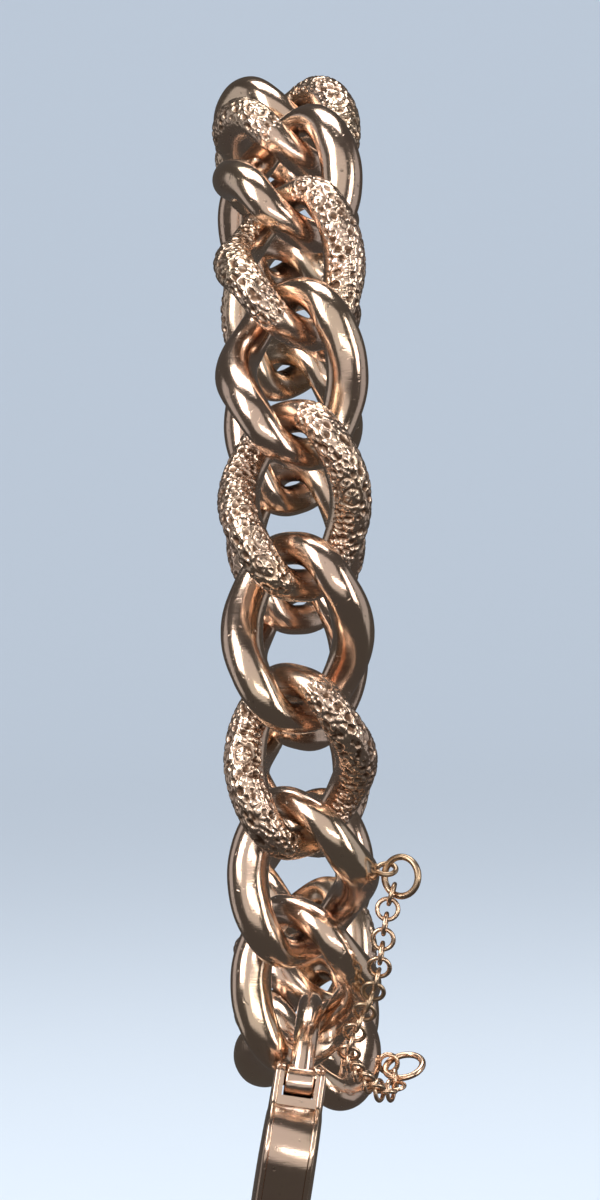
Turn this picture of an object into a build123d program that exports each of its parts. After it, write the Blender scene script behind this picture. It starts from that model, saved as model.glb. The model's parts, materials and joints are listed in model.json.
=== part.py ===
from build123d import *
from math import atan2, cos, degrees, pi, radians, sin
import os

# Padlock bracelet made from a curb watch chain: 21 heavy curb links bent into an
# upright loop, closed at the bottom by a heart padlock, with a fine safety chain
# beside the clasp. Millimetres, +Z up, +X across the chain, -Y the front.
# The origin is the middle of the opening that the wearer's wrist fills.

# ---------------------------------------------------------------- driving sizes
LINK_LENGTH = 13.2
LINK_WIDTH = 10.0
END_WIRE_R = 1.08          # wire at the two ends, where links hook together
SIDE_WIRE_R = 1.38         # swollen middle of each side
LINK_PITCH = 8.6           # from hook point to hook point
LINK_TWIST = 42.0          # each end is turned this far out of the link's plane
LINK_SQUARENESS = 2.5      # 2 is an ellipse; more is squarer
LINK_SECTIONS = 12         # wire sections along each side

# Lean of each link in degrees: 0 stands upright at the front of the loop, 90 lies
# flat on top, 180 hangs at the back. Link 1 is the front end link.
FRONT_LEANS = [-32, -33, -19, -5, 6, 22, 38, 54, 75, 92]
BACK_LINKS = 11
BACK_LEAN_MEAN = 191.663
BACK_LEAN_STEP = 14.871
BACK_LEAN_EASE = -0.45     # the bend eases towards the clasp

PLAIN_LINKS = (1, 2, 4, 6, 8, 10, 12, 14, 16, 18, 20, 21)   # the rest are engraved

# ---------------------------------------------------------------- padlock
SHACKLE_WIRE_R = 0.80
SHACKLE_ARCH_R = 5.20      # centre of the wire
SHACKLE_PLAY = 0.50        # between the shackle and a link that hangs on it
PULL_FRONT = 32.0          # where link 1 pulls on the arch, from the top
PADLOCK_PITCH = 14.0       # the padlock's foot swings forward
PADLOCK_LEAN = 10.0        # and to the left
PADLOCK_SEAT = (0, -0.3, 0.4)   # how far the tilted shackle settles on the end links
BAND_HALF = 1.30           # half the width of the edge band
BAND_WALL = 0.55
FACE_RIM = 0.35            # each heart plate, at its rim
FACE_DOME = 0.30
LOBE_R = 3.4
LOBE_Y = 3.85
LOBE_Z = -5.3
TIP_R = 1.2
TIP_Z = -13.4
EAR_R = 0.90               # the pair of ears that hold the hinge pin
EAR_Y = -5.45
EAR_Z = -0.8
EAR_ROOT_R = 1.1           # where the ears grow out of the front lobe
EAR_ROOT_Y = -4.95
EAR_ROOT_Z = -4.3
SLOT_HALF = 1.05           # half the width of the two gaps that the shackle's legs pass through
FRONT_SLOT = (-8.0, -3.3)  # from and to, along Y
BACK_SLOT = (3.45, 6.6)
SLOT_FLOOR = -2.2
SLOT_HEIGHT = 8.0          # the cutters reach well above the shoulders
PIN_R = 0.38
PIN_Z = -1.0
PIN_PLAY = 0.06
PIN_REACH = 3.0            # half the length of the bar that cuts the pin's holes
BACK_LEG_END = -3.4
BACK_LEG_ROOM = 0.35       # below the end of the back leg
RAISED_STEPS = 2           # a heart plate rises to its middle in steps
RAISED_INSET = 0.45        # each this much further in
KEYHOLE_R = 0.62
KEYHOLE_Z = -6.9
KEYHOLE_SLIT = (0.5, 1.8)  # wide, long
LEAF_THICK = 0.25
LEAF_WIDTH = 1.5
LEAF_TOP = -3.3
LEAF_FOOT = -7.5
LEAF_REACH = 5.6           # how far out the leaf's foot goes to meet the band
LEAF_PLAY = 0.05

# ---------------------------------------------------------------- safety chain
LOOP_R = 0.62              # loops soldered to links 2 and 21
LOOP_WIRE_R = 0.17
JUMP_R = 1.25
JUMP_WIRE_R = 0.20
RING_R = 0.67
RING_WIRE_R = 0.125
RING_PITCH = 1.0
# The way the small rings hang, from the front jump ring to the back one.
CHAIN_WAY = [
    (5.75, -22.75, -20.75),
    (5.35, -22.75, -22.3),
    (5.00, -22.30, -24.5),
    (4.60, -21.20, -26.6),
    (3.50, -18.90, -29.2),
    (2.75, -16.90, -31.4),
    (3.50, -14.00, -33.0),
    (4.60, -11.30, -34.2),
    (5.60, -8.90, -34.4),
    (5.90, -7.30, -33.8),
]
FIRST_RING_TURN = 95.0
JUMP_OUTWARD = ((1, -0.6, 0.6), (1, 0.6, 0.6))   # which way the front and back jump rings stand out


# ---------------------------------------------------------------- curb links
def side_point(turn):
    """A point on the right half of a link's centre line; turn runs from +90 (top) to -90 (foot)."""
    half_width = LINK_WIDTH / 2 - SIDE_WIRE_R
    half_length = LINK_LENGTH / 2 - END_WIRE_R
    out = half_width * max(cos(turn), 0.0) ** (2 / LINK_SQUARENESS)
    rise = half_length * abs(sin(turn)) ** (2 / LINK_SQUARENESS)
    rise = rise if turn > 0 else -rise
    twist = radians(-LINK_TWIST) * sin(pi / 2 * rise / half_length)
    return Vector(out * cos(twist), out * sin(twist), rise)


def curb_link():
    """One twisted link: the right half lofted through round sections, and its twin turned half a turn."""
    steps = 16
    points = [side_point(pi / 2 - pi * i / steps) for i in range(steps + 1)]
    end = radians(LINK_TWIST)
    way = Spline(*points, tangents=[(cos(end), -sin(end), 0), (-cos(end), -sin(end), 0)])
    sections = []
    seam = Vector(0, 1, 0)
    for i in range(LINK_SECTIONS + 1):
        along = i / LINK_SECTIONS
        radius = END_WIRE_R + (SIDE_WIRE_R - END_WIRE_R) * sin(pi * along) ** 2
        heading = way % along
        seam = square_to(seam, heading)
        sections.append(Plane(origin=way @ along, x_dir=seam, z_dir=heading) * Circle(radius))
    half = loft(sections)
    return half + half.rotate(Axis.Z, 180)


def link_leans():
    """Lean of every link, front end first."""
    middle = (BACK_LINKS - 1) / 2
    back = []
    for i in range(BACK_LINKS):
        from_middle = i - middle
        ease = BACK_LEAN_EASE * (from_middle ** 2 - (middle ** 2 + middle) / 3)
        back.append(BACK_LEAN_MEAN + BACK_LEAN_STEP * from_middle + ease)
    return FRONT_LEANS + back


def along_link(lean):
    """The direction from a link's foot to its top."""
    return Vector(0, sin(radians(lean)), cos(radians(lean)))


def link_places():
    """(centres of the links, points where neighbours hook together), about the middle of the opening."""
    leans = link_leans()
    centres = [Vector(0, 0, 0)]
    hooks = []
    for lean, following in zip(leans, leans[1:]):
        hook = centres[-1] + along_link(lean) * (LINK_PITCH / 2)
        hooks.append(hook)
        centres.append(hook + along_link(following) * (LINK_PITCH / 2))
    mid_y = (min(h.Y for h in hooks) + max(h.Y for h in hooks)) / 2
    mid_z = (min(h.Z for h in hooks) + max(h.Z for h in hooks)) / 2
    middle = Vector(0, mid_y, mid_z)
    return [c - middle for c in centres], [h - middle for h in hooks]


def link_location(number):
    """Where link number (from 1) stands."""
    centres, _ = link_places()
    return Location(centres[number - 1]) * Location((0, 0, 0), (-link_leans()[number - 1], 0, 0))


def link_name(number):
    kind = "plain" if number in PLAIN_LINKS else "engraved"
    return f"link_{number:02d}_{kind}"


# ---------------------------------------------------------------- padlock
def arch_centre():
    """The centre of the shackle's arch: link 1 hangs on the arch PULL_FRONT degrees in front of its top."""
    centres, _ = link_places()
    half_length = LINK_LENGTH / 2 - END_WIRE_R
    wire = centres[0] - along_link(FRONT_LEANS[0]) * half_length
    reach = SHACKLE_ARCH_R - SHACKLE_WIRE_R - SHACKLE_PLAY - END_WIRE_R
    return wire - Vector(0, -sin(radians(PULL_FRONT)), cos(radians(PULL_FRONT))) * reach


def swing_pivot():
    """Where link 1 bears on the shackle's wire."""
    pull = Vector(0, -sin(radians(PULL_FRONT)), cos(radians(PULL_FRONT)))
    return arch_centre() + pull * (SHACKLE_ARCH_R - SHACKLE_WIRE_R - SHACKLE_PLAY / 2)


def padlock_location():
    """The padlock's own frame has the arch centre at its origin, X through its thickness, Z up the legs."""
    to_arch = arch_centre() - swing_pivot()
    lean = Location((0, 0, 0), (0, PADLOCK_LEAN, 0))
    pitch = Location((0, 0, 0), (-PADLOCK_PITCH, 0, 0))
    return Location(swing_pivot() + Vector(*PADLOCK_SEAT)) * lean * Location(to_arch) * pitch


def plain_heart(inset):
    """A heart in the padlock's YZ plane, that much inside the padlock's edge."""
    outline = Sketch()
    for side in (-1, 1):
        lobe = Pos(side * LOBE_Y, LOBE_Z) * Circle(LOBE_R - inset)
        tip = Pos(0, TIP_Z) * Circle(TIP_R - inset)
        outline += make_hull(lobe.edges() + tip.edges())
    return outline


def heart():
    """The padlock's outline: a heart with the hinge ears at its front shoulder."""
    outline = plain_heart(0)
    ear = Pos(EAR_Y, EAR_Z) * Circle(EAR_R)
    root = Pos(EAR_ROOT_Y, EAR_ROOT_Z) * Circle(EAR_ROOT_R)
    outline += make_hull(ear.edges() + root.edges())
    return outline


def upright(sketch, x, depth):
    """A sketch drawn as (Y, Z), stood up at x and given depth towards +X."""
    return Location((x, 0, 0)) * extrude(Plane.YZ * sketch, amount=depth)


def pin_bar(radius, half_width):
    return Location((0, -SHACKLE_ARCH_R, PIN_Z)) * Rotation(0, 90, 0) * Cylinder(radius, 2 * half_width)


def shoulder_notch(span, floor):
    """The gap in the edge band that a shackle leg passes through."""
    low_y, high_y = span
    middle = Location((0, (low_y + high_y) / 2, floor + SLOT_HEIGHT / 2))
    return middle * Box(2 * SLOT_HALF, high_y - low_y, SLOT_HEIGHT)


def padlock_band():
    outline = heart()
    wall = outline - offset(outline, -BAND_WALL)
    band = upright(wall, -BAND_HALF, 2 * BAND_HALF)
    band -= shoulder_notch(FRONT_SLOT, SLOT_FLOOR)
    band -= shoulder_notch(BACK_SLOT, BACK_LEG_END - BACK_LEG_ROOM)
    return band - pin_bar(PIN_R, PIN_REACH)


def padlock_face(side):
    """A heart plate, flat at its rim and raised inside it; the right one has the keyhole."""
    plate = upright(heart(), BAND_HALF, FACE_RIM)
    start = BAND_HALF + FACE_RIM
    step = FACE_DOME / RAISED_STEPS
    for i in range(RAISED_STEPS):
        inset = RAISED_INSET * (1 + i)
        plate += upright(plain_heart(inset), start + i * step, step)
    plate -= pin_bar(PIN_R, PIN_REACH)
    if side < 0:
        return plate.mirror(Plane.YZ)
    slit_wide, slit_long = KEYHOLE_SLIT
    key = Pos(0, KEYHOLE_Z) * Circle(KEYHOLE_R)
    key += Pos(0, KEYHOLE_Z - slit_long / 2) * Rectangle(slit_wide, slit_long)
    return plate - upright(key, 0, 2 * start)


def padlock_shackle():
    """Round wire: an arch on two legs, the front one pinned between the ears."""
    arch = SHACKLE_ARCH_R
    arc = ThreePointArc((0, -arch, 0), (0, 0, arch), (0, arch, 0))
    way = Line((0, -arch, PIN_Z), (0, -arch, 0)) + arc + Line((0, arch, 0), (0, arch, BACK_LEG_END))
    wire = sweep(Plane(origin=(0, -arch, PIN_Z), z_dir=(0, 0, 1)) * Circle(SHACKLE_WIRE_R), path=way)
    wire += Location((0, -arch, PIN_Z)) * Sphere(SHACKLE_WIRE_R)
    return wire - pin_bar(PIN_R + PIN_PLAY, PIN_REACH)


def padlock_leaf():
    """The spring leaf that grips the back leg inside the padlock."""
    inner = SHACKLE_ARCH_R - SHACKLE_WIRE_R - LEAF_PLAY
    blade = Box(LEAF_WIDTH, LEAF_THICK, LEAF_TOP - LEAF_FOOT)
    blade = Location((0, inner - LEAF_THICK / 2, (LEAF_TOP + LEAF_FOOT) / 2)) * blade
    foot_reach = LEAF_REACH - inner
    foot = Box(LEAF_WIDTH, foot_reach, LEAF_THICK)
    foot = Location((0, inner - LEAF_THICK + foot_reach / 2, LEAF_FOOT + LEAF_THICK / 2)) * foot
    inside = upright(offset(heart(), -BAND_WALL), -BAND_HALF, 2 * BAND_HALF)
    return (blade + foot) & inside


# ---------------------------------------------------------------- safety chain
def ring(radius, wire, centre, normal):
    """A round ring with its hole along normal."""
    return Plane(origin=centre, z_dir=normal).location * Torus(radius, wire)


def loop_local():
    """A soldered loop's centre in its link's own frame: just outside the right side, lying across the link."""
    return Vector(LINK_WIDTH / 2 + 0.45, -0.55, 0.9)


def soldered_loop(number, link):
    place = link_location(number)
    loop = place * ring(LOOP_R, LOOP_WIRE_R, loop_local(), Vector(0, 0, 1))
    return loop - link


def loop_centre(number):
    return (link_location(number) * Location(loop_local())).position


def unit(vector):
    return vector.normalized()


def square_to(vector, along):
    """The part of vector that is square to along, at unit length."""
    return unit(vector - along * vector.dot(along))


def ring_places():
    """(centre, normal) of each small ring; neighbours are a quarter turn apart."""
    way = Spline(*[Vector(*p) for p in CHAIN_WAY])
    count = round(way.length / RING_PITCH)
    across = Vector(0, 1, 0)
    places = []
    for i in range(count + 1):
        along = unit(way % (i / count))
        across = square_to(across, along)
        side = along.cross(across)
        turn = radians(FIRST_RING_TURN + (90 if i % 2 else 0))
        places.append((way @ (i / count), across * cos(turn) + side * sin(turn)))
    return places


def jump_place(number, ring_centre):
    """(centre, normal) of the jump ring that joins link number's loop to the last small ring."""
    loop = loop_centre(number)
    between = ring_centre - loop
    span = between.length
    first = JUMP_R
    second = JUMP_R + RING_R - JUMP_WIRE_R - RING_WIRE_R - 0.2
    share = (first ** 2 - second ** 2 + span ** 2) / (2 * span)
    off = max(first ** 2 - share ** 2, 0.0) ** 0.5
    outward = square_to(Vector(*JUMP_OUTWARD[number > 2]), unit(between))
    centre = loop + unit(between) * share + outward * off
    return centre, unit(between).cross(outward)


# ---------------------------------------------------------------- assembly
def pieces():
    """Every node's name with its solid, in place."""
    made = {}
    link = curb_link()
    for number in range(1, len(link_leans()) + 1):
        made[link_name(number)] = link.moved(link_location(number))
    last = len(link_leans())
    made["safety_loop_front"] = soldered_loop(2, made[link_name(2)])
    made["safety_loop_back"] = soldered_loop(last, made[link_name(last)])
    rings = ring_places()
    made["jump_ring_front"] = ring(JUMP_R, JUMP_WIRE_R, *jump_place(2, rings[0][0]))
    for i, (centre, normal) in enumerate(rings, 1):
        made[f"safety_ring_{i:02d}"] = ring(RING_R, RING_WIRE_R, centre, normal)
    made["jump_ring_back"] = ring(JUMP_R, JUMP_WIRE_R, *jump_place(last, rings[-1][0]))
    padlock = {
        "padlock_shackle": padlock_shackle(),
        "padlock_band": padlock_band(),
        "padlock_face_right": padlock_face(1),
        "padlock_face_left": padlock_face(-1),
        "padlock_hinge_pin": pin_bar(PIN_R, BAND_HALF + FACE_RIM),
        "padlock_leaf_spring": padlock_leaf(),
    }
    for name, solid in padlock.items():
        made[name] = solid.moved(padlock_location())
    return made


def main():
    os.makedirs("parts", exist_ok=True)
    for name, solid in pieces().items():
        solid.label = name
        export_step(solid, f"parts/{name}.step")


if __name__ == "__main__":
    main()
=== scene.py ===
"""The looks of a curb chain bracelet: 21 heavy rose gold links, a heart padlock and a fine safety chain.

Everything is in metres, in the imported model's own frame: +Z up, -Y the front. Sizes that are written
in millimetres are turned into metres with MM.
"""
import json
import logging
import math
from dataclasses import dataclass, field
from enum import Enum
from typing import Any

import bmesh
import bpy
import numpy as np
from mathutils import Euler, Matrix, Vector


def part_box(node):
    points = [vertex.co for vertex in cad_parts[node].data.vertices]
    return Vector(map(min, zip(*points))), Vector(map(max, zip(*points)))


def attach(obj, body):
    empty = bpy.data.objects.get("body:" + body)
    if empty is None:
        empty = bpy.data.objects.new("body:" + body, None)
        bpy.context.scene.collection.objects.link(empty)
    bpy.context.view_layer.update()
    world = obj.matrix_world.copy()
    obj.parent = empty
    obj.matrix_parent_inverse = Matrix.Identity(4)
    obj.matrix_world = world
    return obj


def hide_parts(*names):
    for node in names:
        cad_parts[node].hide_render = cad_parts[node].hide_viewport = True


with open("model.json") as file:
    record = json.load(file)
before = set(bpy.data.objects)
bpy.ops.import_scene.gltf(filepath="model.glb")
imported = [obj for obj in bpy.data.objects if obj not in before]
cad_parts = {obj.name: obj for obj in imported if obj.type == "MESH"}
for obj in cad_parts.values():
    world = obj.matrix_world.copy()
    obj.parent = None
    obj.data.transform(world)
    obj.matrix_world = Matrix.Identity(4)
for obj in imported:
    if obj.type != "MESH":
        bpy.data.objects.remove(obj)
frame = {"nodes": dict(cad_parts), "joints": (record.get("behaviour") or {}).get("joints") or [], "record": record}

Array = np.ndarray
Circle = tuple[float, float, float]
MM = 0.001
log = logging.getLogger("bracelet")


# ------------------------------------------------------------------------------------------- meshes
def build_mesh(
    name: str, points: Array, faces: Array | list, marks: dict[str, Array] | None = None
) -> bpy.types.Object:
    """Makes a smooth object at the origin from whole arrays.

    Args:
        name: the piece's name.
        points: (n, 3) places in metres.
        faces: the corners of each face, turning outwards.
        marks: a number for each point under each attribute name.

    Returns:
        The new object, linked to the scene.
    """
    mesh = bpy.data.meshes.new(name)
    mesh.from_pydata(points.tolist(), [], faces.tolist() if isinstance(faces, np.ndarray) else faces)
    mesh.polygons.foreach_set("use_smooth", np.ones(len(mesh.polygons), bool))
    for mark, values in (marks or {}).items():
        layer = mesh.attributes.new(mark, "FLOAT", "POINT")
        layer.data.foreach_set("value", values.astype(np.float32).ravel())
    mesh.update()
    piece = bpy.data.objects.new(name, mesh)
    bpy.context.scene.collection.objects.link(piece)
    return piece


def grid_quads(rows: int, columns: int, closed_rows: bool, closed_columns: bool) -> Array:
    """The four corners of every face of a grid of points.

    Args:
        rows: how many rows of points.
        columns: how many points in a row.
        closed_rows: the last row joins the first.
        closed_columns: each row's last point joins its first.

    Returns:
        (faces, 4) point numbers, row by row.
    """
    i = np.arange(rows if closed_rows else rows - 1)[:, None]
    j = np.arange(columns if closed_columns else columns - 1)[None, :]
    below, beside = (i + 1) % rows, (j + 1) % columns
    corners = [i * columns + j, i * columns + beside, below * columns + beside, below * columns + j]
    return np.stack([np.broadcast_to(c, (i.size, j.size)) for c in corners], axis=-1).reshape(-1, 4)


def unit(vectors: Array) -> Array:
    """Each vector at length one."""
    return vectors / np.linalg.norm(vectors, axis=-1, keepdims=True)


def smooth_step(low: float, high: float, value: Array) -> Array:
    """0 below low, 1 above high and a smooth climb between: 3t^2 - 2t^3."""
    t = np.clip((value - low) / (high - low), 0.0, 1.0)
    return t * t * (3 - 2 * t)


def torus_points(centre: Array, normal: Array, radius: float, wire: Array, steps: int, sides: int) -> Array:
    """A ring: a circle of wire carried round a circle.

    The point at (a, s) is centre + (radius + wire cos s) (cos a, sin a) + wire sin s along the normal.

    Args:
        centre: the ring's middle.
        normal: the direction of its hole.
        radius: to the centre of the wire.
        wire: the wire's radius at each step round the ring.
        steps: steps round the ring.
        sides: steps round the wire.

    Returns:
        (steps, sides, 3) points.
    """
    axis = unit(normal)
    across = unit(np.cross(axis, [0.3, 0.5, 0.8]))
    up = np.cross(axis, across)
    a = np.linspace(0, 2 * np.pi, steps, endpoint=False)[:, None, None]
    s = np.linspace(0, 2 * np.pi, sides, endpoint=False)[None, :, None]
    outward = np.cos(a) * across + np.sin(a) * up
    thick = wire[:, None, None]
    return centre + outward * (radius + thick * np.cos(s)) + axis * thick * np.sin(s)


# ---------------------------------------------------------------------------------------- materials
class Signal:
    """A shader socket; adding it or multiplying it adds a Math node."""

    def __init__(self, paint: "Paint", socket: bpy.types.NodeSocket) -> None:
        """Keeps the socket and the material that it is in."""
        self.paint, self.socket = paint, socket

    def _math(self, operation: str, first: Any, second: Any) -> "Signal":
        """One Math node on two values."""
        return self.paint.node("ShaderNodeMath", {"operation": operation}, {0: first, 1: second})

    def __add__(self, other: Any) -> "Signal":
        """self + other."""
        return self._math("ADD", self, other)

    __radd__ = __add__

    def __mul__(self, other: Any) -> "Signal":
        """self * other."""
        return self._math("MULTIPLY", self, other)

    __rmul__ = __mul__


class Paint:
    """One material's node tree."""

    def __init__(self, name: str) -> None:
        """Makes an empty material with that name."""
        self.material = bpy.data.materials.new(name)
        self.material.use_nodes = True
        self.tree = self.material.node_tree
        self.tree.nodes.clear()

    def node(self, kind: str, settings: dict[str, Any] | None = None, inputs: dict[Any, Any] | None = None,
             output: int | str = 0) -> Signal:
        """Adds any node.

        Args:
            kind: the node's type.
            settings: its own settings, set first; "stops" is a ramp's list of (place, colour).
            inputs: a value or a Signal for each socket, by name or number.
            output: which of its outputs is returned.

        Returns:
            The chosen output.
        """
        made = self.tree.nodes.new(kind)
        for key, value in (settings or {}).items():
            if key == "stops":
                stops = made.color_ramp.elements
                while len(stops) < len(value):
                    stops.new(1.0)
                for stop, (place, colour) in zip(stops, value):
                    stop.position, stop.color = place, colour
            else:
                setattr(made, key, value)
        for key, value in (inputs or {}).items():
            if isinstance(value, Signal):
                self.tree.links.new(value.socket, made.inputs[key])
            else:
                made.inputs[key].default_value = value
        return Signal(self, made.outputs[output])

    def noise(self, scale: float, detail: float, stretch: tuple[float, float, float] = (1, 1, 1),
              turn: tuple[float, float, float] = (0, 0, 0)) -> Signal:
        """Noise on the piece's own coordinates, stretched and turned."""
        place = self.node("ShaderNodeTexCoord", output="Object")
        moved = self.node("ShaderNodeMapping", {}, {"Vector": place, "Scale": stretch, "Rotation": turn})
        return self.node("ShaderNodeTexNoise", {}, {"Vector": moved, "Scale": scale, "Detail": detail})

    def between(
        self, value: Signal, low: float, high: float, to_low: float = 0.0, to_high: float = 1.0
    ) -> Signal:
        """Carries a value from one span to another, held at its ends."""
        sockets = {0: value, 1: low, 2: high, 3: to_low, 4: to_high}
        return self.node("ShaderNodeMapRange", {"clamp": True}, sockets)

    def mix(self, share: Any, first: Any, second: Any) -> Signal:
        """Mixes two colours."""
        return self.node("ShaderNodeMix", {"data_type": "RGBA"}, {0: share, 6: first, 7: second}, output=2)

    def mark(self, name: str) -> Signal:
        """A number that the mesh carries at each point."""
        return self.node("ShaderNodeAttribute", {"attribute_name": name}, output="Fac")

    def bump(self, height: Signal, depth: float, under: Signal | None = None) -> Signal:
        """A bump of that depth in metres, on top of another."""
        inputs = {"Height": height, "Distance": depth, "Strength": 1.0}
        return self.node("ShaderNodeBump", {}, {**inputs, "Normal": under} if under else inputs)

    def finish(self, **sockets: Any) -> bpy.types.Material:
        """Adds the surface shader and the output, with values or links for its sockets."""
        named = {key.replace("_", " "): value for key, value in sockets.items()}
        shader = self.node("ShaderNodeBsdfPrincipled", {}, named)
        out = self.tree.nodes.new("ShaderNodeOutputMaterial")
        self.tree.links.new(shader.socket, out.inputs["Surface"])
        return self.material


@dataclass(frozen=True)
class RoseGold:
    """Worn rose gold: warm and cool patches, hair scratches, rubbed highs, dark specks, tarnish, and painted shade
    in the tucks and pits.
    """

    name: str
    colour: tuple[float, float, float] = (0.77, 0.58, 0.47)
    yellow: tuple[float, float, float] = (0.80, 0.645, 0.46)
    # The dark colour of the specks and tarnish, and of the painted shade in the tucks and pits.
    grime_and_shade: tuple[float, float, float] = (0.06, 0.04, 0.03)
    roughness: float = 0.13
    worn: float = 0.10
    scratch_depth: float = 0.000004
    tarnish: float = 0.0
    # Whether the mesh's "low" mark paints shade into the colour.
    painted_shade: bool = True

    def material(self) -> bpy.types.Material:
        """Makes the material."""
        paint = Paint(self.name)
        patches = paint.between(paint.noise(180.0, 3.0), 0.42, 0.68)
        colour = paint.mix(patches * 0.55, (*self.colour, 1), (*self.yellow, 1))
        specks = paint.between(paint.noise(2600.0, 2.0), 0.66, 0.74)
        scratches = paint.noise(900.0, 4.0, (1, 1, 14), (0.5, 0.4, 0.2))
        crossed = paint.noise(1100.0, 3.0, (13, 1, 1), (0.2, 0.9, 0.5))
        dirt_and_shade = specks * 0.35 + patches * self.tarnish
        # Painted shade: the mesh's "low" mark, at the links' tucked ends and in the pits, darkens the colour along
        # with the specks.
        if self.painted_shade:
            dirt_and_shade = dirt_and_shade + paint.mark("low")
        dirt_and_shade = paint.between(dirt_and_shade, 0.0, 1.0)
        # The specks, tarnish and painted shade all mix the colour towards the dark one.
        colour = paint.mix(dirt_and_shade, colour, (*self.grime_and_shade, 1))
        rough = paint.between(scratches, 0.35, 0.75, self.roughness, self.roughness + self.worn)
        rough = rough + dirt_and_shade * 0.3
        normal = paint.bump(scratches + crossed, self.scratch_depth)
        normal = paint.bump(specks, -2.5 * self.scratch_depth, normal)
        return paint.finish(Base_Color=colour, Roughness=rough, Metallic=1.0, Normal=normal)


class Finish(Enum):
    """The finishes of the bracelet's pieces, each with its material slot in the record."""

    PLAIN = ("plain_link_gold", RoseGold("rose_gold_polished"))
    ENGRAVED = ("engraved_link_gold",
                # The punched links' painted shade and specks go to a lighter brown.
                RoseGold("rose_gold_punched", grime_and_shade=(0.17, 0.10, 0.065), roughness=0.18))
    PADLOCK = ("padlock_gold", RoseGold("rose_gold_padlock", roughness=0.15, painted_shade=False))
    SAFETY = ("safety_chain_gold", RoseGold("rose_gold_tarnished", (0.78, 0.55, 0.40), (0.66, 0.52, 0.33),
                                            roughness=0.2, tarnish=0.35, painted_shade=False))
    LEAF = ("leaf_spring_steel", RoseGold("spring_steel", (0.55, 0.55, 0.56), (0.48, 0.45, 0.42),
                                          (0.12, 0.09, 0.07), roughness=0.3, painted_shade=False))


class Finisher:
    """Makes each finish's material once and dresses pieces in it."""

    def __init__(self) -> None:
        """Starts with no material made."""
        self.made: dict[Finish, bpy.types.Material] = {}

    def material(self, finish: Finish) -> bpy.types.Material:
        """The finish's material."""
        if finish not in self.made:
            self.made[finish] = finish.value[1].material()
        return self.made[finish]

    def dress_new(self, piece: bpy.types.Object, finish: Finish, body: str, *nodes: str) -> None:
        """Gives a new piece its finish, its body and the CAD nodes that it stands for."""
        piece.data.materials.append(self.material(finish))
        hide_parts(*nodes)
        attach(piece, body)
        log.info("%s rides on %s", piece.name, body)

    def dress_node(self, node: str, finish: Finish) -> None:
        """Gives a CAD node that stays its finish."""
        for slot in frame["nodes"][node].material_slots:
            slot.material = self.material(finish)
        log.info("%s keeps its own shape", node)


def body_of(node: str) -> str:
    """The body that a CAD node belongs to."""
    bodies = frame["record"]["behaviour"]["bodies"]
    return next(body for body, nodes in bodies.items() if node in nodes)


def node_points(node: str) -> Array:
    """All the points of a CAD node's mesh."""
    vertices = frame["nodes"][node].data.vertices
    points = np.empty(len(vertices) * 3)
    vertices.foreach_get("co", points)
    return points.reshape(-1, 3)


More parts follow.
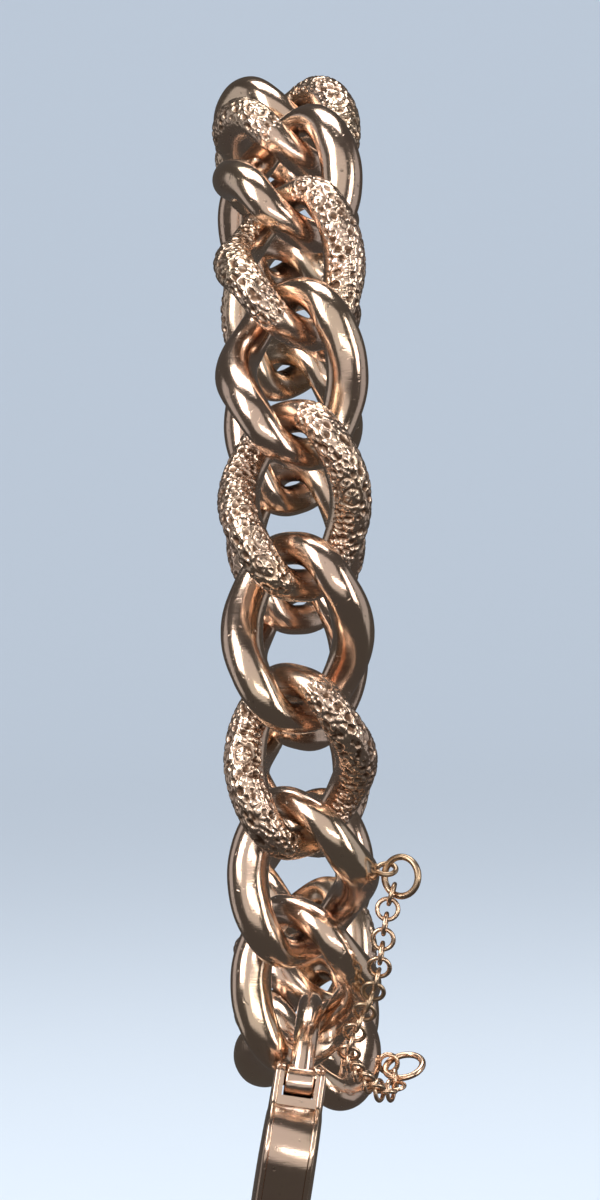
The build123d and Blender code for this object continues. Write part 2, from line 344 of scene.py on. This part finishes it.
# --------------------------------------------------------------------------------------- curb links
@dataclass
class Punching:
    """The punched ground of an engraved link: close pits between pebbles, with a few rosettes."""

    pebble: float = 0.50 * MM
    pit: float = 0.62 * MM
    pit_depth: float = 0.15 * MM
    groove_depth: float = 0.06 * MM
    pebble_height: float = 0.035 * MM
    rosette_radius: float = 0.62 * MM
    starts: float = 0.07
    ends: float = 0.80
    seed: int = 0

    def cells(self, u: Array, v: Array, spans: tuple[float, float], size: float,
              rng: np.random.Generator) -> tuple[Array, Array, Array]:
        """Distances to scattered points that repeat round both ways.

        One point stands at random in each cell of a grid; each place looks at the nine cells round it.

        Args:
            u: distance along the wire.
            v: distance round the wire.
            spans: the whole distance each way, after which the pattern repeats.
            size: the cells' size.
            rng: where the points come from.

        Returns:
            The distance to the nearest point, to the second nearest, and the nearest one's own number,
            0 to 1.
        """
        counts = [max(3, round(span / size)) for span in spans]
        points = rng.random((*counts, 3))
        places = [axis / span * count for axis, span, count in zip((u, v), spans, counts)]
        whole = [np.floor(place).astype(int) for place in places]
        steps = [span / count for span, count in zip(spans, counts)]
        first = np.full(u.shape, 1e9)
        second, own = first.copy(), np.zeros(u.shape)
        for step_u in (-1, 0, 1):
            for step_v in (-1, 0, 1):
                i, j = whole[0] + step_u, whole[1] + step_v
                near = points[i % counts[0], j % counts[1]]
                across = (i + near[..., 0] - places[0]) * steps[0]
                gap = np.hypot(across, (j + near[..., 1] - places[1]) * steps[1])
                closer = gap < first
                second = np.where(closer, first, np.minimum(second, gap))
                own = np.where(closer, near[..., 2], own)
                first = np.where(closer, gap, first)
        return first, second, own

    def relief(self, share: Array, around: Array, u: Array, v: Array,
               spans: tuple[float, float]) -> tuple[Array, Array]:
        """How far the punching lifts or sinks the surface.

        Args:
            share: along the half that a place is on, 0 at its raised end and 1 at its tucked end.
            around: the angle round the wire, 0 at the link's outer edge and a quarter turn at its face.
            u: distance along the wire.
            v: distance round the wire.
            spans: the whole distance each way.

        Returns:
            The lift in metres, and how deep each place lies, 0 to 1, which darkens the pits as painted shade.
        """
        rng = np.random.default_rng(self.seed)
        ragged = 0.35 * np.sin(u / MM * 5.1 + self.seed) + 0.3 * np.sin(u / MM * 11.3 + v / MM * 3.7)
        off_face = np.abs((around - np.radians(48) + np.pi) % (2 * np.pi) - np.pi)
        face = 1 - smooth_step(1.45, 1.62, off_face + 0.16 * ragged)
        along = smooth_step(0.0, 0.03, share - self.starts + 0.02 * ragged)
        along *= 1 - smooth_step(0.0, 0.03, share - self.ends + 0.03 * ragged)
        ground = face * along
        first, second, own = self.cells(u, v, spans, self.pebble, rng)
        lift = self.pebble_height * (1 - (first / (0.7 * self.pebble)) ** 2)
        lift -= self.groove_depth * np.exp(-(((second - first) / (0.16 * self.pebble)) ** 2)) * (0.4 + own)
        first, second, own = self.cells(u, v, spans, self.pit, rng)
        wide = (0.24 + 0.2 * own) * self.pit
        lift -= self.pit_depth * (0.6 + 0.4 * own) * (1 - smooth_step(0.55, 1.15, first / wide))
        for place_u, place_v in zip(rng.uniform(0, spans[0], 5), rng.uniform(0.05, 0.3, 5) * spans[1]):
            du = (u - place_u + spans[0] / 2) % spans[0] - spans[0] / 2
            dv = (v - place_v + spans[1] / 2) % spans[1] - spans[1] / 2
            out, turn = np.hypot(du, dv) / self.rosette_radius, np.arctan2(dv, du)
            petals = 0.045 * MM * np.cos(6 * turn) * np.sin(np.pi * np.clip(out, 0, 1))
            edge = 0.10 * MM * np.exp(-(((out - 0.95) / 0.13) ** 2))
            flower = petals - edge + 0.05 * MM * np.exp(-((out / 0.25) ** 2))
            lift = np.where(out < 1.1, flower, lift)
        lift *= ground
        # Painted shade in the pits, by their depth.
        low = np.clip(-lift / (0.8 * self.pit_depth), 0, 1)
        return lift, low


@dataclass
class CurbLink:
    """One twisted link of swollen round wire, plain or punched."""

    node: str
    centre: Array
    along: Array
    length: float = 13.2 * MM
    width: float = 10.0 * MM
    end_wire: float = 1.08 * MM
    side_wire: float = 1.38 * MM
    twist: float = math.radians(42.0)
    squareness: float = 2.5
    seed: int = 0

    @property
    def engraved(self) -> bool:
        """Whether its face is punched."""
        return self.node.endswith("engraved")

    def centre_line(self, count: int) -> tuple[Array, Array]:
        """Evenly spaced points along the middle of the wire, from the raised end at the top.

        At a turn t the flat link is x = a |cos t|^p, z = b |sin t|^p with the signs of cos t and sin t,
        where p is 2 / squareness; then each point turns about Z by the twist times -sin(z / b quarter turns).

        Args:
            count: how many points.

        Returns:
            (count, 3) points, and each one's distance along, as a share of the whole.
        """
        a, b = self.width / 2 - self.side_wire, self.length / 2 - self.end_wire
        t = np.linspace(np.pi / 2, -1.5 * np.pi, 6001)
        flat_x = a * np.sign(np.cos(t)) * np.abs(np.cos(t)) ** (2 / self.squareness)
        z = b * np.sign(np.sin(t)) * np.abs(np.sin(t)) ** (2 / self.squareness)
        turned = -self.twist * np.sin(np.pi / 2 * z / b)
        line = np.stack([flat_x * np.cos(turned), flat_x * np.sin(turned), z], axis=-1)
        run = np.concatenate([[0], np.cumsum(np.linalg.norm(np.diff(line, axis=0), axis=1))])
        share = np.arange(count) / count
        even = np.stack([np.interp(share * run[-1], run, line[:, k]) for k in range(3)], axis=-1)
        self.run = float(run[-1])
        return even, share

    def surface(self, steps: int, sides: int) -> tuple[Array, Array]:
        """The wire's surface and how much painted shade each place gets.

        The point at (share, s) is the centre line + radius (cos s outward + sin s towards the face). The
        radius is end_wire + (side_wire - end_wire) sin^2 of the share of a half, times half a turn, with
        the punching's lift and slow hand-made waves of about a hundredth of a millimetre added.

        Args:
            steps: steps along the wire.
            sides: steps round the wire.

        Returns:
            (steps * sides, 3) points in the model's frame, and the painted shade, 0 to 1.
        """
        line, share = self.centre_line(steps)
        heading = unit(np.roll(line, -1, axis=0) - np.roll(line, 1, axis=0))
        outward = unit(line - heading * np.sum(line * heading, axis=1, keepdims=True))
        faceward = np.cross(heading, outward)
        half = (share * 2) % 1.0
        radius = self.end_wire + (self.side_wire - self.end_wire) * np.sin(np.pi * half) ** 2
        s = np.linspace(0, 2 * np.pi, sides, endpoint=False)
        share2, s2 = np.meshgrid(share, s, indexing="ij")
        u, v = share2 * self.run, s2 / (2 * np.pi) * 7.9 * MM
        waves = 0.008 * MM * np.sin(7 * np.pi * 2 * share2 + 2 * s2 + self.seed)
        waves += 0.006 * MM * np.sin(13 * np.pi * 2 * share2 - s2 * 3 + 2.1 * self.seed)
        # Painted shade: the inner side of each end, where the neighbouring links hook in, gets up to 0.75 of the
        # "low" mark, which darkens the metal there.
        tucked = smooth_step(0.86, 0.99, np.abs(1 - 2 * half))[:, None] * smooth_step(-0.2, 0.9, -np.cos(s2))
        low = 0.75 * tucked
        lift = waves - 0.008 * MM
        if self.engraved:
            size = (self.run, 7.9 * MM)
            punched, pits = Punching(seed=self.seed).relief((share2 * 2) % 1.0, s2, u, v, size)
            # Painted shade: the punched pits darken by their depth.
            lift, low = lift + punched, np.maximum(low, pits)
        thick = (radius[:, None] + lift)[..., None]
        cosine, sine = np.cos(s2)[..., None], np.sin(s2)[..., None]
        spot = line[:, None] + thick * (cosine * outward[:, None] + sine * faceward[:, None])
        lean = math.atan2(self.along[1], self.along[2])
        y, z = spot[..., 1].copy(), spot[..., 2].copy()
        spot[..., 1] = y * math.cos(lean) + z * math.sin(lean)
        spot[..., 2] = z * math.cos(lean) - y * math.sin(lean)
        return (spot + self.centre).reshape(-1, 3), low.ravel()

    def build(self) -> bpy.types.Object:
        """Makes the link's mesh; a punched link needs many more points."""
        steps, sides = (460, 108) if self.engraved else (200, 56)
        points, low = self.surface(steps, sides)
        # The "low" mark carries the painted shade to the material.
        return build_mesh(f"{self.node}_gold", points, grid_quads(steps, sides, True, True), {"low": low})


@dataclass
class CurbChain:
    """The 21 links, each standing where the frame has it."""

    finisher: Finisher
    nodes: list[str] = field(
        default_factory=lambda: sorted(node for node in frame["nodes"] if node.startswith("link_")))

    def hooks(self) -> Array:
        """The points where neighbours hook together, front end first."""
        joints = [j for j in frame["joints"] if j["name"].startswith("hook_")]
        joints.sort(key=lambda j: j["name"])
        return np.array([j["pos_m"] for j in joints], float)

    def build(self) -> None:
        """Makes and dresses every link."""
        hooks = self.hooks()
        for i, node in enumerate(self.nodes):
            low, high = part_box(node)
            centre = np.array((low + high) / 2)
            along = hooks[i] - centre if i < len(hooks) else centre - hooks[i - 1]
            link = CurbLink(node, centre, along, seed=i + 3)
            finish = Finish.ENGRAVED if link.engraved else Finish.PLAIN
            self.finisher.dress_new(link.build(), finish, body_of(node), node)


# ------------------------------------------------------------------------------------- safety chain
@dataclass
class SafetyChain:
    """The small wire rings between the two soldered loops."""

    finisher: Finisher
    steps: int = 48
    sides: int = 14
    swell: float = 0.03 * MM

    def ring(self, node: str) -> None:
        """Makes one ring where its CAD node lies; the joint in its wire is a little swollen with solder."""
        points = node_points(node)
        loose = points - points.mean(0)
        normal = np.linalg.svd(loose, full_matrices=False)[2][2]
        height = loose @ normal
        wire = (height.max() - height.min()) / 2
        stout = wire + self.swell
        reach = np.linalg.norm(loose - np.outer(height, normal), axis=1)
        radius = reach.max() - wire
        turn = np.linspace(0, 2 * np.pi, self.steps, endpoint=False)
        thick = stout * (0.95 + 0.05 * np.cos(turn) ** 8 - 0.02 * np.sin(3 * turn))
        grid = torus_points(points.mean(0), normal, radius, thick, self.steps, self.sides)
        faces = grid_quads(self.steps, self.sides, True, True)[:, ::-1]
        piece = build_mesh(f"{node}_gold", grid.reshape(-1, 3), faces)
        self.finisher.dress_new(piece, Finish.SAFETY, body_of(node), node)

    def build(self) -> None:
        """Makes every ring and dresses the two soldered loops."""
        for node in sorted(frame["nodes"]):
            if "ring" in node and not node.startswith("padlock"):
                self.ring(node)
            elif node.startswith("safety_loop"):
                self.finisher.dress_node(node, Finish.SAFETY)


# ------------------------------------------------------------------------------------------ padlock
@dataclass
class HeartOutline:
    """The padlock's edge, seen from its side: two lobes, a rounded foot and the hinge's ear.

    Each circle is its middle's Y and Z and its radius.
    """

    lobe: Circle = (3.85 * MM, -5.3 * MM, 3.4 * MM)
    foot: Circle = (0.0, -13.4 * MM, 1.2 * MM)
    ear: Circle = (-5.45 * MM, -0.8 * MM, 0.9 * MM)
    ear_root: Circle = (-4.95 * MM, -4.3 * MM, 1.1 * MM)
    middle: tuple[float, float] = (0.0, -8.0 * MM)
    blend: float = 0.4 * MM
    farthest: float = 12 * MM
    halvings: int = 40

    @staticmethod
    def hull_distance(y: Array, z: Array, first: Circle, second: Circle) -> Array:
        """How far places are outside the band stretched round two circles; less than 0 inside.

        With q the place in the frame of the line between the centres, the distance is that to the first
        circle below its tangent point, to the second above its own, and to the tangent line between.
        """
        (ay, az, ar), (by, bz, br) = first, second
        h = (by - ay) ** 2 + (bz - az) ** 2
        across = np.abs((y - ay) * (bz - az) - (z - az) * (by - ay)) / h
        along = ((y - ay) * (by - ay) + (z - az) * (bz - az)) / h
        lean = ar - br
        level = math.sqrt(h - lean * lean)
        k = level * along - lean * across
        n = across ** 2 + along ** 2
        near_first = np.sqrt(h * n) - ar
        near_second = np.sqrt(np.maximum(h * (n + 1 - 2 * along), 0)) - br
        between = level * across + lean * along - ar
        return np.where(k < 0, near_first, np.where(k > level, near_second, between))

    def distance(self, y: Array, z: Array) -> Array:
        """How far places are outside the outline; less than 0 inside."""
        ly, lz, lr = self.lobe
        heart = np.minimum(self.hull_distance(y, z, (ly, lz, lr), self.foot),
                           self.hull_distance(y, z, (-ly, lz, lr), self.foot))
        ear = self.hull_distance(y, z, self.ear, self.ear_root)
        share = np.clip(0.5 + 0.5 * (heart - ear) / self.blend, 0, 1)
        return heart * (1 - share) + ear * share - self.blend * share * (1 - share)

    def rings(self, insets: Array, turns: Array) -> Array:
        """The outline moved inwards, as the distance from its middle at each turn.

        Args:
            insets: how far in, for each ring.
            turns: the angles, from straight up towards the back.

        Returns:
            (insets, turns) distances, each found by halving the span that holds it.
        """
        low = np.zeros((insets.size, turns.size))
        high = np.full(low.shape, self.farthest)
        for _ in range(self.halvings):
            reach = (low + high) / 2
            y = self.middle[0] + reach * np.sin(turns)
            z = self.middle[1] + reach * np.cos(turns)
            inside = self.distance(y, z) < -insets[:, None]
            low, high = np.where(inside, reach, low), np.where(inside, high, reach)
        return (low + high) / 2


PLATE_RIM = (
    (0.10, 1.30), (0.03, 1.33), (0, 1.40), (0, 1.55), (0.03, 1.62), (0.10, 1.65),
    (0.42, 1.66), (0.47, 1.64), (0.50, 1.60), (0.54, 1.60), (0.58, 1.65),
    (0.64, 1.69), (0.8, 1.755), (1.0, 1.80),
)
"""A plate's rim and groove from its back to its puff: how far in and how far out in X, in millimetres."""

PLATE_BACK = 1.30
PLATE_PUFF = 0.15
PUFF_SHARES = (0.93, 0.85, 0.75, 0.6, 0.4, 0.2)
PLATE_TURNS = 480
KEYHOLE_RADIUS = 0.62
KEYHOLE_MIDDLE = -6.9
KEYHOLE_FOOT = -8.7
KEYHOLE_SLIT_HALF = 0.25
KEYHOLE_DEPTHS = (1.0, 2.4)
KEYHOLE_SHARP = math.radians(55)
LEG_END_EASE = 0.25 * MM
EYE_PROFILE = ((0.94, 0.42), (0.95, 0.55), (0.95, 0.92), (0.92, 1.00), (0.86, 1.06), (0.78, 1.08))
RIVET_PROFILE = (
    (1.72, 0.10), (1.71, 0.25), (1.68, 0.38), (1.63, 0.46), (1.60, 0.46), (1.58, 0.38), (0.6, 0.38),
)
RIVET_TIP = 1.725
BAND_EASE = 0.07 * MM


@dataclass
class Padlock:
    """The heart padlock: shackle, edge band, two puffed plates, hinge pin and leaf spring.

    Its own frame has the arch's centre at its origin, X through its thickness and Z up its legs.
    """

    finisher: Finisher
    wire: float = 0.80 * MM
    arch: float = 5.20 * MM
    pin_z: float = -1.0 * MM
    back_leg: float = -3.4 * MM
    pitch: float = math.radians(14.0)
    lean: float = math.radians(10.0)
    outline: HeartOutline = field(default_factory=HeartOutline)

    def placed(self, points: Array) -> Array:
        """Carries points from the padlock's own frame to the model's.

        They are pitched, then leaned, then set on the hinge pin.
        """
        cp, sp = math.cos(self.pitch), math.sin(self.pitch)
        cl, sl = math.cos(self.lean), math.sin(self.lean)
        pitched = np.array([[1, 0, 0], [0, cp, sp], [0, -sp, cp]])
        leaned = np.array([[cl, 0, sl], [0, 1, 0], [-sl, 0, cl]])
        turn = leaned @ pitched
        hinge = next(j for j in frame["joints"] if j["name"] == "padlock_opening")
        own_hinge = np.array([0.0, -self.arch, self.pin_z])
        return (points - own_hinge) @ turn.T + np.array(hinge["pos_m"])

    def plate(self, side: int) -> bpy.types.Object:
        """A heart plate: a flat back, a rounded rim, a groove and a puffed middle.

        Each ring of points is the outline at an inset, drawn in towards the middle by a share, at its own
        height; the ring's height follows a quarter of an ellipse over the puffed part.
        """
        last_inset, crest = PLATE_RIM[-1]
        profile = [(PLATE_RIM[0][0], 0.5, PLATE_BACK)]
        profile += [(inset, 1, height) for inset, height in PLATE_RIM]
        profile += [(last_inset, share, crest + PLATE_PUFF * math.sqrt(1 - share ** 2))
                    for share in PUFF_SHARES]
        inset, share, height = (np.array(column) for column in zip(*profile))
        turns = np.linspace(0, 2 * np.pi, PLATE_TURNS, endpoint=False)
        reach = self.outline.rings(inset * MM, turns) * share[:, None]
        y = self.outline.middle[0] + reach * np.sin(turns)
        z = self.outline.middle[1] + reach * np.cos(turns)
        x = np.broadcast_to(height[:, None] * MM, y.shape)
        rings = np.stack([side * x, y, z], -1).reshape(-1, 3)
        reaches = (PLATE_BACK, crest + PLATE_PUFF)
        poles = np.array([[side * out * MM, *self.outline.middle] for out in reaches])
        rows, columns = y.shape
        faces = grid_quads(rows, columns, False, True).tolist()
        back, front = rows * columns, rows * columns + 1
        here = np.arange(columns)
        after = (here + 1) % columns
        last = (rows - 1) * columns
        faces += np.stack([np.full(columns, back), after, here], -1).tolist()
        faces += np.stack([np.full(columns, front), last + here, last + after], -1).tolist()
        if side > 0:
            faces = [face[::-1] for face in faces]
        points = self.placed(np.concatenate([rings, poles]))
        return build_mesh(f"padlock_plate_{'right' if side > 0 else 'left'}", points, faces)

    def keyhole(self, plate: bpy.types.Object) -> None:
        """Cuts the keyhole through a plate: a round hole above a slit, a prism in X."""
        turn = np.linspace(np.radians(-66), np.radians(246), 28)
        y = np.concatenate([KEYHOLE_RADIUS * np.cos(turn), [-KEYHOLE_SLIT_HALF, KEYHOLE_SLIT_HALF]]) * MM
        z = np.concatenate([KEYHOLE_MIDDLE + KEYHOLE_RADIUS * np.sin(turn), [KEYHOLE_FOOT] * 2]) * MM
        ends = [np.stack([np.full(y.size, x * MM), y, z], -1) for x in KEYHOLE_DEPTHS]
        count = y.size
        faces = grid_quads(2, count, False, True).tolist()
        faces += [list(range(count))[::-1], list(range(count, 2 * count))]
        cutter = build_mesh("keyhole_cutter", self.placed(np.concatenate(ends)), faces)
        cut = plate.modifiers.new("keyhole", "BOOLEAN")
        cut.object, cut.operation, cut.solver = cutter, "DIFFERENCE", "MANIFOLD"
        bpy.context.view_layer.update()
        shown = plate.evaluated_get(bpy.context.evaluated_depsgraph_get())
        done = bpy.data.meshes.new_from_object(shown)
        plate.modifiers.clear()
        done.set_sharp_from_angle(angle=KEYHOLE_SHARP)
        done.materials.clear()
        plate.data = done
        bpy.data.objects.remove(cutter)

    def shackle(self) -> bpy.types.Object:
        """The shackle: a circle of wire carried up the front leg, round the arch and down the back leg.

        The wire is drawn in to a rounded end at each leg, by the cosine and sine of a quarter turn.
        """
        leg_front = np.linspace(self.pin_z, 0, 8)[:-1]
        turn = np.linspace(0, np.pi, 72)
        leg_back = np.linspace(0, self.back_leg + LEG_END_EASE, 12)[1:]
        front, back = np.full(leg_front.size, -self.arch), np.full(leg_back.size, self.arch)
        y = np.concatenate([front, -self.arch * np.cos(turn), back])
        z = np.concatenate([leg_front, self.arch * np.sin(turn), leg_back])
        heading = np.concatenate([np.zeros(leg_front.size), turn, np.full(leg_back.size, np.pi)])
        thick = np.full(y.size, self.wire)
        curl = np.linspace(0.08, 1, 8)[:, None] * np.pi / 2
        first = [(-self.arch, self.pin_z - self.wire * math.cos(a), 0.0, self.wire * math.sin(a))
                 for a in curl[:-1, 0]]
        last = [(self.arch, self.back_leg + LEG_END_EASE * (1 - math.cos(a)), np.pi,
                 self.wire - LEG_END_EASE * (1 - math.sin(a))) for a in curl[::-1, 0]]
        path = np.array(first + list(zip(y, z, heading, thick)) + last)
        s = np.linspace(0, 2 * np.pi, 40, endpoint=False)[None, :]
        y, z, heading, thick = (path[:, k][:, None] for k in range(4))
        out = thick * np.cos(s)
        beside = np.broadcast_to(thick * np.sin(s), out.shape)
        grid = np.stack([beside, y - out * np.cos(heading), z + out * np.sin(heading)], -1)
        rows, columns = out.shape
        points = np.concatenate([grid.reshape(-1, 3), [grid[0].mean(0), grid[-1].mean(0)]])
        here = np.arange(columns)
        after = (here + 1) % columns
        faces = grid_quads(rows, columns, False, True).tolist()
        faces += np.stack([np.full(columns, rows * columns), after, here], -1).tolist()
        end = (rows - 1) * columns
        faces += np.stack([np.full(columns, rows * columns + 1), end + here, end + after], -1).tolist()
        return build_mesh("padlock_shackle_wire", self.placed(points), faces)

    def knuckle(self) -> bpy.types.Object:
        """The shackle's flat-sided eye round the pin: a rounded profile turned about the pin's axis."""
        side = np.array(EYE_PROFILE)
        profile = np.concatenate([side, side[::-1] * [-1, 1]]) * MM
        s = np.linspace(0, 2 * np.pi, 64, endpoint=False)[None, :]
        x, radius = (profile[:, k][:, None] for k in range(2))
        wide = np.broadcast_to(x, (x.size, s.size))
        grid = np.stack([wide, -self.arch + radius * np.cos(s), self.pin_z + radius * np.sin(s)], -1)
        rows, columns = grid.shape[:2]
        faces = grid_quads(rows, columns, True, True)[:, ::-1]
        return build_mesh("padlock_shackle_eye", self.placed(grid.reshape(-1, 3)), faces)

    def pin(self) -> bpy.types.Object:
        """The hinge pin with a low domed rivet head at each end: a profile turned about the pin's axis."""
        side = np.array(RIVET_PROFILE)
        profile = np.concatenate([side, side[::-1] * [-1, 1]]) * MM
        s = np.linspace(0, 2 * np.pi, 32, endpoint=False)[None, :]
        x, radius = (profile[:, k][:, None] for k in range(2))
        wide = np.broadcast_to(x, (x.size, s.size))
        grid = np.stack([wide, -self.arch + radius * np.cos(s), self.pin_z + radius * np.sin(s)], -1)
        rows, columns = grid.shape[:2]
        ends = np.array([[tip * MM, -self.arch, self.pin_z] for tip in (RIVET_TIP, -RIVET_TIP)])
        here = np.arange(columns)
        after = (here + 1) % columns
        faces = grid_quads(rows, columns, False, True).tolist()
        faces += np.stack([np.full(columns, rows * columns), after, here], -1).tolist()
        end = (rows - 1) * columns
        faces += np.stack([np.full(columns, rows * columns + 1), end + here, end + after], -1).tolist()
        points = self.placed(np.concatenate([grid.reshape(-1, 3), ends]))
        return build_mesh("padlock_rivet", points, [face[::-1] for face in faces])

    def eased(self, node: str, name: str, radius: float) -> bpy.types.Object:
        """A copy of a CAD node with its doubles merged, its flats made whole and its edges rounded."""
        piece = bpy.data.objects.new(name, frame["nodes"][node].data.copy())
        bpy.context.scene.collection.objects.link(piece)
        piece.data.materials.clear()
        work = bmesh.new()
        work.from_mesh(piece.data)
        bmesh.ops.remove_doubles(work, verts=work.verts, dist=0.000002)
        bmesh.ops.dissolve_limit(work, angle_limit=math.radians(1.0), verts=work.verts, edges=work.edges)
        for face in work.faces:
            face.smooth = True
        work.to_mesh(piece.data)
        work.free()
        bevel = piece.modifiers.new("eased_edges", "BEVEL")
        bevel.width, bevel.segments = radius, 3
        bevel.limit_method, bevel.angle_limit = "ANGLE", math.radians(35)
        bevel.harden_normals = True
        return piece

    def build(self) -> None:
        """Makes and dresses every piece."""
        right = self.plate(1)
        self.keyhole(right)
        gold = Finish.PADLOCK
        self.finisher.dress_new(right, gold, "padlock", "padlock_face_right")
        self.finisher.dress_new(self.plate(-1), gold, "padlock", "padlock_face_left")
        self.finisher.dress_new(self.pin(), gold, "padlock", "padlock_hinge_pin")
        self.finisher.dress_new(self.shackle(), gold, "shackle", "padlock_shackle")
        self.finisher.dress_new(self.knuckle(), gold, "shackle")
        band = self.eased("padlock_band", "padlock_edge_band", BAND_EASE)
        self.finisher.dress_new(band, gold, "padlock", "padlock_band")
        self.finisher.dress_node("padlock_leaf_spring", Finish.LEAF)


# ------------------------------------------------------------------------------------------- studio
@dataclass
class Studio:
    """A pale bowl of paper, soft panels of light and the camera."""

    paper: tuple[float, float, float] = (0.33, 0.37, 0.42)
    floor_z: float = -0.052
    flat: float = 1.6
    sweep: float = 1.2
    top: float = 3.5

    def backdrop(self) -> None:
        """A round floor that curves up into a wall all round, so that every side has it behind.

        The profile is a straight run out, a quarter of a circle and a straight run up, turned about Z.
        """
        turn = np.linspace(0, np.pi / 2, 24)
        reach = np.concatenate([[0.02, 0.5], self.flat + self.sweep * np.sin(turn), [self.flat + self.sweep]])
        height = np.concatenate([[0.0, 0.0], self.sweep * (1 - np.cos(turn)), [self.top]]) + self.floor_z
        around = np.linspace(0, 2 * np.pi, 96, endpoint=False)[None, :]
        far, tall = reach[:, None], np.broadcast_to(height[:, None], (height.size, around.size))
        grid = np.stack([far * np.cos(around), far * np.sin(around), tall], -1)
        faces = grid_quads(reach.size, around.size, False, True)[:, ::-1].tolist()
        faces.append(list(range(around.size)))
        paper = build_mesh("paper_bowl", grid.reshape(-1, 3), faces)
        paint = Paint("pale_paper")
        grain = paint.between(paint.noise(300.0, 3.0), 0.3, 0.7)
        colour = paint.mix(grain * 0.06, (*self.paper, 1), (0.30, 0.33, 0.37, 1))
        glow = (0.66, 0.74, 0.84, 1)
        paper.data.materials.append(
            paint.finish(Base_Color=colour, Roughness=0.9, Emission_Color=glow, Emission_Strength=0.55))
        paper.visible_glossy = False

    def panel(self, name: str, place: tuple[float, float, float], size: tuple[float, float], power: float,
              colour: tuple[float, float, float] = (1, 1, 1)) -> None:
        """A soft panel of light that faces the middle of the bracelet.

        Args:
            name: its name.
            place: its middle.
            size: its width and height.
            power: in watts.
            colour: of its light.
        """
        light = bpy.data.lights.new(name, "AREA")
        light.shape, light.size, light.size_y = "RECTANGLE", *size
        light.energy, light.color = power, colour
        lamp = bpy.data.objects.new(name, light)
        bpy.context.scene.collection.objects.link(lamp)
        lamp.location = place
        lamp.rotation_euler = (-Vector(place)).to_track_quat("-Z", "Y").to_euler()

    def lights(self) -> None:
        """Panels at both sides, above and low in front, three dim cards and a dim room."""
        self.panel("window_left", (-0.55, -0.45, 0.35), (0.35, 0.6), 4.4, (1.0, 0.97, 0.92))
        self.panel("window_right", (0.60, -0.30, 0.10), (0.16, 0.6), 1.8, (1.0, 0.96, 0.90))
        self.panel("overhead", (0.0, 0.05, 0.60), (0.5, 0.35), 3.2, (1.0, 0.98, 0.94))
        self.panel("low_front", (0.15, -0.60, -0.04), (0.5, 0.10), 0.9, (1.0, 0.94, 0.86))
        self.panel("front_card", (-0.12, -0.85, 0.15), (1.25, 1.4), 3.4, (1.0, 0.96, 0.92))
        self.panel("right_card", (0.75, 0.15, 0.0), (0.5, 0.9), 0.55, (0.96, 0.97, 1.0))
        self.panel("left_card", (-0.75, 0.25, 0.0), (0.4, 0.9), 0.5, (0.98, 0.98, 1.0))
        world = bpy.data.worlds.new("dim_room")
        world.use_nodes = True
        world.node_tree.nodes["Background"].inputs["Color"].default_value = (0.075, 0.070, 0.066, 1)
        bpy.context.scene.world = world

    def camera(self) -> None:
        """A long lens level with the bracelet's middle, turned slightly on its own axis."""
        data = bpy.data.cameras.new("front_camera")
        data.lens, data.sensor_width = 228.0, 36.0
        data.clip_start, data.clip_end = 0.01, 10.0
        camera = bpy.data.objects.new("front_camera", data)
        camera.location = (0.0002, -0.519, -0.0014)
        camera.rotation_euler = Euler((math.radians(90), math.radians(1.3), 0))
        bpy.context.scene.collection.objects.link(camera)
        bpy.context.scene.camera = camera

    def build(self) -> None:
        """Sets everything up."""
        self.camera()
        self.backdrop()
        self.lights()
        bpy.context.scene.view_settings.view_transform = "Standard"


def main() -> None:
    """Builds the bracelet and its studio."""
    logging.basicConfig(level=logging.INFO, format="%(name)s: %(message)s")
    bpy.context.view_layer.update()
    finisher = Finisher()
    Studio().build()
    CurbChain(finisher).build()
    SafetyChain(finisher).build()
    Padlock(finisher).build()


if __name__ == "__main__":
    main()
